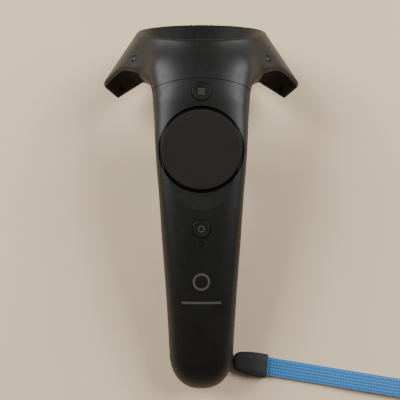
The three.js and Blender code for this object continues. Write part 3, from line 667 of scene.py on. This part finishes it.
def relax(points, ends, weight, rounds):
    """Moves each weighted point towards the mean of its neighbours, over and over."""
    ends = ends[(weight > 0)[ends].any(axis=1)]
    near = np.concatenate([ends[:, 0], ends[:, 1]])
    far = np.concatenate([ends[:, 1], ends[:, 0]])
    used, index = np.unique(np.concatenate([near, far]), return_inverse=True)
    near, far = index[:len(near)], index[len(near):]
    count = np.maximum(np.bincount(near, minlength=len(used)), 1)
    moving, pull = points[used], (0.6 * weight[used])[:, None]
    for _ in range(rounds):
        sums = [np.bincount(near, moving[far, k], len(used)) for k in range(3)]
        mean = np.stack(sums, axis=1) / count[:, None]
        moving = moving + pull * (mean - moving)
    points[used] = moving


def casing():
    shell = outer_hull()
    cut(shell, handle_form(WALL, CAVITY_BACK, CAVITY_FRONT, 64, 40, CROWN_WALL), ring_hollow())
    head = copied(shell, "head_skin")
    meet(head, head_region(0))
    rear = copied(head, "ring_rear_skin")
    dimples = sensor_dimples()
    cut(head, rear_region(GAP / 2))
    meet(rear, rear_region(-GAP / 2))
    for cutter in dimples:
        cut(head, cutter, keep=True)
        cut(rear, cutter)
    cut(shell, head_region(-GAP))
    lower = copied(shell, "handle_lower_skin")
    upper = meet(shell, box((-60, 60), (-120, 120), (PARTING_Z + GAP / 2, 40)))
    upper.name = "handle_upper_skin"
    meet(lower, box((-60, 60), (-120, 120), (-60, PARTING_Z - GAP / 2)))
    open_upper(upper)
    open_lower(lower)
    place(head, "casing", "charcoal_plastic", "head_cover")
    place(rear, "casing", "rear_plastic", "ring_rear_shell")
    place(upper, "casing", "charcoal_plastic", "handle_top_shell")
    place(lower, "casing", "charcoal_plastic", "handle_bottom_shell")


def open_upper(upper):
    cut(upper, post(BEZEL_OUTER + GAP, 0, PAD_Y, (BEZEL_FLOOR - GAP, 5), 128))
    for y, radius in ((MENU_Y, MENU_RADIUS), (SYSTEM_Y, SYSTEM_RADIUS)):
        cut(upper, post(radius + GAP, 0, y, (-6, 5)))
        cut(upper, post(radius + FLANGE + GAP, 0, y, (-6, FLANGE_TOP + GAP)))
    cut(upper, post(LIGHT_RADIUS + GAP, 0, LIGHT_Y, (-6, 5), 24), box(*USB_SLOT))


def open_lower(lower):
    half = TRIGGER_WIDTH / 2 + 0.5
    cut(lower, box(*USB_SLOT), box(*NOTCH), box((-half, half), *TRIGGER_OPENING))
    cut(lower, rod_along_y(BAR_RADIUS + GAP, BAR_X, (BAR_SPAN[0] - GAP, BAR_SPAN[1] + GAP), BAR_Z))
    for side in (-1, 1):
        cut(lower, grip_column(side, GAP, (14, 40)), grip_column(side, GRIP_FLANGE + GAP, (14, 16.6)))
    for x, y in SCREWS:
        cut(lower, post(1.5, x, y, (-60, -6), 24), post(2.7, x, y, (-60, screw_seat(x, y)), 40))


# ---- Controls ----

def round_edge(radius, top, rounding, degrees):
    """A turned profile's rounded outer edge, from its side up to its top."""
    inner, low = radius - rounding, top - rounding
    angles = [math.radians(a) for a in degrees]
    return [(inner + rounding * math.sin(a), low + rounding * math.cos(a)) for a in angles]


def trackpad():
    edge = round_edge(PAD_RADIUS, PAD_TOP, 0.5, (90, 70, 50, 30, 10))
    dish = [(r, PAD_TOP - 0.25 * (1 - (r / 19) ** 2)) for r in (19, 16, 12, 8, 4)]
    low = PAD_TOP - PAD_THICKNESS
    profile = [(0, low), (PAD_RADIUS, low), *edge, *dish, (0, PAD_TOP - 0.25)]
    pad = turned(profile, (0, PAD_Y), 160, "trackpad_disc")
    place(pad, "trackpad_body", "pad_plastic", "trackpad")


def trackpad_bezel():
    """The cup around the trackpad, with a hole for its cable."""
    bezel = post(BEZEL_OUTER, 0, PAD_Y, (BEZEL_FLOOR, 2), 160)
    cut(bezel, post(BEZEL_INNER, 0, PAD_Y, (BEZEL_FLOOR + 0.8, 4), 160), post(3, 0, PAD_Y - 12, (-12, 0), 24))
    meet(bezel, handle_form(BEZEL_SUNK, CAVITY_BACK, CAVITY_FRONT))
    lowered = scoop()
    lowered.data.transform(Matrix.Translation((0, 0, -BEZEL_SCOOP_DROP)))
    cut(bezel, lowered)
    bezel.name = "trackpad_surround"
    place(bezel, "casing", "black_plastic", "trackpad_bezel")


def round_button(name, y, radius, top, body, node):
    flange = radius + FLANGE
    edge = round_edge(radius, top, 0.35, (90, 65, 40, 15))
    dish = [(radius * share, top - 0.22 * (1 - share**2)) for share in (0.85, 0.65, 0.4, 0.2)]
    stem = [(0, FLANGE_BOTTOM), (flange, FLANGE_BOTTOM), (flange, FLANGE_TOP), (radius, FLANGE_TOP)]
    button = turned([*stem, *edge, *dish, (0, top - 0.22)], (0, y), 96, name)
    place(button, body, "charcoal_plastic", node)


def bar_mark(x, y, length, height, z):
    return prism(stadium((x, y), length, height, 8), 2, z, "bar_mark")


def ring_mark(x, y, radius, line, z, sides=64):
    mark = post(radius, x, y, z, sides)
    return cut(mark, post(radius - line, x, y, (z[0] - 1, z[1] + 1), sides))


def printed_marks():
    """Generic light-grey marks: three bars, a small ring, and a plain ring over a bar."""
    lines = [bar_mark(0, MENU_Y + dy, 3.7, 0.55, (-0.5, 0.02)) for dy in (-1.15, 0, 1.15)]
    bars = gathered(lines, "menu_mark")
    ring = ring_mark(0, SYSTEM_Y, 1.7, 0.45, (-0.5, -0.1))
    ring.name = "system_mark"
    emblem = ring_mark(0, EMBLEM_Y, 4.4, EMBLEM_LINE, EMBLEM_Z)
    emblem.name = "handle_ring_mark"
    line = bar_mark(0, EMBLEM_BAR_Y, 20, EMBLEM_LINE, EMBLEM_Z)
    line.name = "handle_bar_mark"
    bodies = ("menu_button_body", "system_button_body", "casing", "casing")
    for mark, body in zip((bars, ring, emblem, line), bodies):
        place(mark, body, "printed_grey")


def trigger_outline():
    """The trigger seen from its side: y, z."""
    outline = [(40, -22), (44.5, -34)]
    outline += bend(outline[-1], (35, -42), (33.6, -54), 24)
    outline += bend(outline[-1], (30, -57.5), (26.8, -53), 12)
    outline += bend(outline[-1], (25.5, -41), (18.5, -34), 24)
    outline.append((18.5, -29.5))
    outline += bend(outline[-1], (25, -28), (31, -21.5), 8)
    outline += bend(outline[-1], (35, -18), (40, -22), 8)[:-1]
    return outline


def trigger():
    half = TRIGGER_WIDTH / 2
    blade = rounded(prism(trigger_outline(), 0, (-half, half), "trigger_blade"), 1.6, 0.28)
    cut(blade, rod_along_x(1.3, (-20, 20), *TRIGGER_PIVOT[1:]))
    cut(blade, rod_along_x(1.9, (-half - 1, -half + 2.3), 25, -31.5))
    place(blade, "trigger_body", "black_plastic", "trigger")


def grip_button(side, name):
    cap = meet(grip_column(side, 0, (15.2, 30)), handle_form(-GRIP_PROUD, CAVITY_BACK, CAVITY_FRONT))
    cap = rounded(cap, 0.6, 0.2)
    join(cap, grip_column(side, GRIP_FLANGE, (15, 16.3)))
    cap.name = f"grip_pad_{name}"
    place(cap, f"grip_{name}_body", "charcoal_plastic", f"grip_button_{name}")


# ---- The wrist strap ----

def smooth_route(route, steps):
    """A curve through the route's points, evenly spaced: a centripetal Catmull-Rom spline."""
    points = np.array(route, dtype=float)
    ends = (2 * points[0] - points[1], 2 * points[-1] - points[-2])
    padded = np.vstack([ends[0], points, ends[1]])
    fine = []
    for i in range(len(points) - 1):
        p0, p1, p2, p3 = padded[i:i + 4]
        pairs = ((p0, p1), (p1, p2), (p2, p3))
        d01, d12, d23 = (max(np.linalg.norm(b - a) ** 0.5, 1e-6) for a, b in pairs)
        m1 = ((p1 - p0) / d01 - (p2 - p0) / (d01 + d12) + (p2 - p1) / d12) * d12
        m2 = ((p2 - p1) / d12 - (p3 - p1) / (d12 + d23) + (p3 - p2) / d23) * d12
        for u in np.linspace(0, 1, 40, endpoint=False):
            fine.append((2 * u**3 - 3 * u**2 + 1) * p1 + (u**3 - 2 * u**2 + u) * m1
                        + (3 * u**2 - 2 * u**3) * p2 + (u**3 - u**2) * m2)
    fine = np.array([*fine, points[-1]])
    run = np.concatenate([[0], np.cumsum(np.linalg.norm(np.diff(fine, axis=0), axis=1))])
    even = np.linspace(0, run[-1], steps + 1)
    return np.stack([np.interp(even, run, fine[:, k]) for k in range(3)], axis=1), run[-1]


def tangents(points):
    return np.array([unit(v) for v in np.gradient(points, axis=0)])


def band_outline(width, thickness, steps=5):
    """A flat band's section with rounded edges."""
    radius = thickness / 2 * 0.95
    found = []
    for sign_x, sign_y, start in ((1, 1, 0), (-1, 1, 90), (-1, -1, 180), (1, -1, 270)):
        centre = (sign_x * (width / 2 - radius), sign_y * (thickness / 2 - radius))
        found += arc(centre, radius, start, start + 90, steps)
    return found


def ribbon(name, route, steps, width, thickness, twist):
    """A flat band along a route, turned about its centre line by twist(share)."""
    centres, length = smooth_route(route, steps)
    outline = band_outline(width, thickness)
    sections = []
    for i, (centre, tangent) in enumerate(zip(centres, tangents(centres))):
        level = unit(np.array([-tangent[1], tangent[0], 0]))
        lift = np.cross(tangent, level)
        angle = twist(i / steps)
        across = level * math.cos(angle) + lift * math.sin(angle)
        upward = np.cross(tangent, across)
        sections.append(np.array([centre + across * a + upward * b for a, b in outline]))
    band = loft(sections, name=name)
    strand = np.repeat(np.linspace(0, length, steps + 1), len(outline))
    side = np.tile([a for a, _ in outline], steps + 1)
    keep_weave_places(band, strand, side)
    return band, centres, length


def keep_weave_places(band, strand, side):
    """How far along and across the band each point is, for the weave."""
    places = np.zeros((len(band.data.vertices), 3))
    places[:, 0], places[:, 1] = strand, side
    attribute = band.data.attributes.new("weave", "FLOAT_VECTOR", "POINT")
    attribute.data.foreach_set("vector", places.ravel())


def flat(share):
    return 0


def loop_twist(share):
    """A quarter turn on to its edge near one end, and another back to flat near the other."""
    return -math.pi / 2 * float(ramp(share, 0, TWIST_SHARE) + ramp(share, 1 - TWIST_SHARE, 1))


def lanyard_cord(steps=90, sides=14):
    centres, length = smooth_route(LANYARD_ROUTE, steps)
    outline = arc((0, 0), LANYARD_RADIUS, 0, 360 - 360 / sides, sides - 1)
    sections, side = [], np.array([0, 0, 1.0])
    for centre, tangent in zip(centres, tangents(centres)):
        side = unit(side - tangent * (side @ tangent))
        other = np.cross(tangent, side)
        sections.append(np.array([centre + side * a + other * b for a, b in outline]))
    cord = loft(sections, name="lanyard_strand")
    strand = np.repeat(np.linspace(0, length, steps + 1), sides)
    keep_weave_places(cord, strand, np.tile(np.arange(sides), steps + 1))
    return cord, centres, length


def along_strap(piece):
    turn = Matrix.Translation((STRAP_X, STRAP_Y, 0)) @ Matrix.Rotation(math.radians(STRAP_HEADING), 4, "Z")
    piece.data.transform(turn)
    return piece


def strap_sleeve():
    """A rubber cap, narrow at its tip: how far along, and its share of the full width and height."""
    length, width, height = SLEEVE_SIZE
    shares = [
        (0, 0.5, 0.66), (0.3, 0.58, 0.74), (0.8, 0.67, 0.82), (1.6, 0.76, 0.88), (3, 0.84, 0.94),
        (5, 0.9, 0.97), (8, 0.965, 1), (12, 0.995, 1), (17.4, 1, 1), (17.8, 0.985, 0.97), (length, 0.95, 0.9),
    ]
    angles = 2 * np.pi * np.arange(72) / 72
    c, s = np.cos(angles), np.sin(angles)
    sections = []
    for x, wide, high in shares:
        y = width / 2 * wide * np.sign(c) * np.abs(c) ** 0.6
        z = height / 2 + 0.05 + height / 2 * high * np.sign(s) * np.abs(s) ** 0.7
        sections.append(np.stack([np.full(72, float(x)), y, z], axis=1))
    sleeve = loft(sections, name="strap_cap")
    return place(along_strap(sleeve), "casing", "sleeve_rubber", "strap_sleeve", matrix=TABLE)


def strap_slider():
    end, half = SLIDER_START + SLIDER_LENGTH, SLOT_WIDTH / 2
    body = box((SLIDER_START, end), (-SLIDER_WIDTH / 2, SLIDER_WIDTH / 2), (0.05, SLIDER_TOP))
    body = rounded(body, 1.2, 0.3)
    cut(body, box((SLIDER_START - 5, end + 5), (-half, half), SLOT_Z))
    for i in range(5):
        x = SLIDER_START + 4 + 1.7 * i
        cut(body, box((x, x + 0.6), (-5, 5), (SLIDER_TOP - 0.3, 9)))
    body.name = "strap_lock"
    return place(along_strap(body), "strap_slider_body", "black_plastic", "strap_slider", matrix=TABLE)


def strap():
    sleeve, slider = strap_sleeve(), strap_slider()
    cord, centres, length = lanyard_cord()
    place(cord, "casing", "cord_black", "lanyard_cord", matrix=TABLE)
    band, centres, length = ribbon(
        "strap_band", WEBBING_ROUTE, 150, WEBBING_WIDTH, 2 * WEBBING_THICKNESS, flat)
    place(band, "casing", "webbing_blue", "strap_webbing", matrix=TABLE, crease=80)
    loop, centres, length = ribbon(
        "wrist_band", LOOP_ROUTE, 320, WEBBING_WIDTH, WEBBING_THICKNESS, loop_twist)
    place(loop, "casing", "webbing_blue", "wrist_loop", matrix=TABLE, crease=80)


# ---- Materials ----

class Shader:
    """A material's node tree, with short calls for the nodes used here."""

    def __init__(self, name):
        self.material = bpy.data.materials.new(name)
        self.material.use_nodes = True
        self.tree = self.material.node_tree
        self.surface = self.tree.nodes["Principled BSDF"]
        self.places = None

    def node(self, kind, **settings):
        node = self.tree.nodes.new(kind)
        for key, value in settings.items():
            if key in node.inputs:
                node.inputs[key].default_value = value
            else:
                setattr(node, key, value)
        return node

    def link(self, source, target):
        self.tree.links.new(source, target)

    def in_millimetres(self):
        """Places in the handle's frame, in millimetres, so that patterns have a real scale."""
        if self.places is None:
            coordinates = self.node("ShaderNodeTexCoord")
            mapping = self.node("ShaderNodeMapping", vector_type="TEXTURE")
            mapping.inputs["Location"].default_value = HANDLE.translation
            mapping.inputs["Rotation"].default_value = (TILT, 0, 0)
            mapping.inputs["Scale"].default_value = (MM, MM, MM)
            self.link(coordinates.outputs["Object"], mapping.inputs["Vector"])
            self.places = mapping.outputs["Vector"]
        return self.places

    def noise(self, per_mm, detail=3, roughness=0.5):
        noise = self.node("ShaderNodeTexNoise", Scale=per_mm, Detail=detail, Roughness=roughness)
        self.link(self.in_millimetres(), noise.inputs["Vector"])
        return noise.outputs["Fac"]

    def mapped(self, value, from_range, to_range):
        node = self.node("ShaderNodeMapRange")
        for key, number in zip(("From Min", "From Max", "To Min", "To Max"), (*from_range, *to_range)):
            node.inputs[key].default_value = number
        self.link(value, node.inputs["Value"])
        return node.outputs["Result"]

    def wave(self, value, period):
        """A sine that repeats over a period of the value."""
        turns = self.node("ShaderNodeMath", operation="MULTIPLY")
        turns.inputs[1].default_value = 2 * math.pi / period
        self.link(value, turns.inputs[0])
        sine = self.node("ShaderNodeMath", operation="SINE")
        self.link(turns.outputs[0], sine.inputs[0])
        return sine.outputs[0]

    def added(self, first, second, share):
        """The first value plus a share of the second."""
        node = self.node("ShaderNodeMath", operation="MULTIPLY_ADD")
        node.inputs[1].default_value = share
        self.link(second, node.inputs[0])
        self.link(first, node.inputs[2])
        return node.outputs[0]

    def mix(self, factor, first, second):
        node = self.node("ShaderNodeMix", data_type="RGBA")
        self.link(factor, node.inputs["Factor"])
        for socket, colour in ((node.inputs[6], first), (node.inputs[7], second)):
            if isinstance(colour, tuple):
                socket.default_value = (*colour, 1)
            else:
                self.link(colour, socket)
        return node.outputs[2]

    def colour(self, value):
        self.link(value, self.surface.inputs["Base Color"])

    def roughness(self, value):
        self.link(value, self.surface.inputs["Roughness"])

    def bump(self, height, depth_mm):
        node = self.node("ShaderNodeBump", Distance=depth_mm * MM, Strength=1)
        self.link(height, node.inputs["Height"])
        self.link(node.outputs["Normal"], self.surface.inputs["Normal"])


def moulded(name, dark, light, rough, grain=3.2, depth=0.02, specular=0.4):
    """Moulded plastic: slow colour drift, fine spark-eroded grain and uneven gloss."""
    shader = Shader(name)
    shader.surface.inputs["Specular IOR Level"].default_value = specular
    drift = shader.mapped(shader.noise(0.06, 4), (0.3, 0.7), (0, 1))
    shader.colour(shader.mix(drift, dark, light))
    uneven = shader.noise(0.35, 5, 0.6)
    shader.roughness(shader.mapped(uneven, (0.3, 0.7), rough))
    shader.bump(shader.noise(grain, 2), depth)
    return shader


def metal(name, colour, rough):
    shader = Shader(name)
    shader.surface.inputs["Metallic"].default_value = 1
    streaks = shader.noise(0.9, 3)
    shader.colour(shader.mix(streaks, colour, tuple(value * 0.75 for value in colour)))
    shader.roughness(shader.mapped(streaks, (0.3, 0.7), rough))
    return shader


def webbing():
    """Fine ribs across the band and plies along it, both blurred by fuzz."""
    shader = Shader("webbing_blue")
    source = shader.node("ShaderNodeAttribute", attribute_name="weave")
    split = shader.node("ShaderNodeSeparateXYZ")
    shader.link(source.outputs["Vector"], split.inputs[0])
    ribs, plies = shader.wave(split.outputs[0], WEAVE_RIB), shader.wave(split.outputs[1], WEAVE_PLY)
    height = shader.added(shader.added(ribs, plies, 0.9), shader.noise(2.2, 4, 0.7), 1.4)
    shade = shader.mapped(height, (-1.4, 2.6), (0, 1))
    shader.colour(shader.mix(shade, (0.01, 0.085, 0.28), (0.06, 0.32, 0.74)))
    shader.surface.inputs["Roughness"].default_value = 0.85
    shader.surface.inputs["Sheen Weight"].default_value = 0.35
    shader.bump(height, 0.12)
    return shader


def braided():
    shader = Shader("cord_black")
    source = shader.node("ShaderNodeAttribute", attribute_name="weave")
    wave = shader.node("ShaderNodeTexWave", Scale=1.6, Distortion=0.4)
    shader.link(source.outputs["Vector"], wave.inputs["Vector"])
    shader.colour(shader.mix(wave.outputs["Fac"], (0.008, 0.008, 0.009), (0.03, 0.03, 0.032)))
    shader.surface.inputs["Roughness"].default_value = 0.8
    shader.bump(wave.outputs["Fac"], 0.08)
    return shader


def floor_material():
    shader = Shader("floor")
    shader.colour(shader.mix(shader.noise(0.02, 3), (0.80, 0.62, 0.41), (0.85, 0.68, 0.47)))
    shader.surface.inputs["Roughness"].default_value = 0.75
    return shader


# Moulded looks: dark and light colour, roughness, and then grain, its depth and specular level.
MOULDED = {
    "charcoal_plastic": ((0.0045, 0.0042, 0.004), (0.008, 0.0075, 0.0072), (0.4, 0.48)),
    # rear_plastic is the charcoal plastic painted darker: painted shade for the ring's inward rear faces.
    "rear_plastic": ((0.0025, 0.0015, 0.001), (0.004, 0.0025, 0.0018), (0.5, 0.6), 3.2, 0.02, 0.06),
    "inner_plastic": ((0.03, 0.03, 0.031), (0.045, 0.045, 0.047), (0.5, 0.6)),
    "black_plastic": ((0.0025, 0.0025, 0.0027), (0.005, 0.005, 0.0052), (0.4, 0.5), 3.2, 0.02, 0.2),
    "pad_plastic": ((0.0105, 0.0085, 0.0068), (0.0145, 0.0115, 0.0095), (0.6, 0.7), 4.5, 0.03, 0.26),
    "printed_grey": ((0.06, 0.057, 0.054), (0.08, 0.076, 0.072), (0.45, 0.55)),
    "board_green": ((0.006, 0.05, 0.02), (0.012, 0.08, 0.03), (0.3, 0.45)),
    "flex_film": ((0.25, 0.09, 0.01), (0.35, 0.14, 0.02), (0.25, 0.4)),
    "cell_wrap": ((0.25, 0.26, 0.28), (0.32, 0.33, 0.35), (0.3, 0.45)),
    "light_pipe": ((0.012, 0.012, 0.012), (0.02, 0.02, 0.02), (0.2, 0.3)),
    "sleeve_rubber": ((0.016, 0.016, 0.017), (0.028, 0.027, 0.027), (0.6, 0.75), 2.5, 0.05),
}


def make_looks():
    looks = {name: moulded(name, *values) for name, values in MOULDED.items()}
    looks["steel"] = metal("steel", (0.5, 0.51, 0.53), (0.25, 0.4))
    looks["webbing_blue"] = webbing()
    looks["cord_black"] = braided()
    return looks


def dress_cad():
    """The kept CAD pieces wear the same looks, by their slots in the record."""
    slots = {part["node"]: part["material_slot"] for part in frame["record"]["subparts"]}
    for name, node in frame["nodes"].items():
        wear(node, LOOKS[slots[name]].material)


def wear(piece, material):
    piece.data.materials.clear()
    piece.data.materials.append(material)


# ---- The stage ----

def camera():
    data = bpy.data.cameras.new("camera")
    data.sensor_width = SENSOR
    data.lens = LENS
    data.clip_start = 0.01
    view = bpy.data.objects.new("camera", data)
    view.location = HANDLE @ Vector(CAMERA)
    view.rotation_euler = (TILT, 0, 0)
    bpy.context.scene.collection.objects.link(view)
    bpy.context.scene.camera = view


def softbox(name, place_m, power):
    """A square lamp turned to the controller's middle."""
    data = bpy.data.lights.new(name, "AREA")
    data.shape = "RECTANGLE"
    data.size = data.size_y = SOFTBOX_SIZE
    data.energy = power
    lamp = bpy.data.objects.new(name, data)
    lamp.location = place_m
    lamp.rotation_euler = (Vector(SOFTBOX_TARGET) - Vector(place_m)).to_track_quat("-Z", "Y").to_euler()
    bpy.context.scene.collection.objects.link(lamp)


def stage():
    floor = box((-2000, 2000), (-2000, 2000), (-40, -0.05), "floor")
    floor.data.transform(TABLE)
    wear(floor, floor_material().material)
    softbox("left_window", (-0.6, 0.24, 0.55), 8.0)
    softbox("right_window", (0.6, 0.23, 0.55), 6.9)
    world = bpy.data.worlds.new("studio")
    world.use_nodes = True
    world.node_tree.nodes["Background"].inputs["Color"].default_value = (1, 0.97, 0.93, 1)
    world.node_tree.nodes["Background"].inputs["Strength"].default_value = 0.13
    bpy.context.scene.world = world


LOOKS = make_looks()

camera()
strap()
casing()
trackpad()
trackpad_bezel()
trigger()
round_button("menu_key", MENU_Y, MENU_RADIUS, 0.1, "menu_button_body", "menu_button")
round_button("system_key", SYSTEM_Y, SYSTEM_RADIUS, 0.05, "system_button_body", "system_button")
grip_button(-1, "left")
grip_button(1, "right")
printed_marks()
dress_cad()
stage()
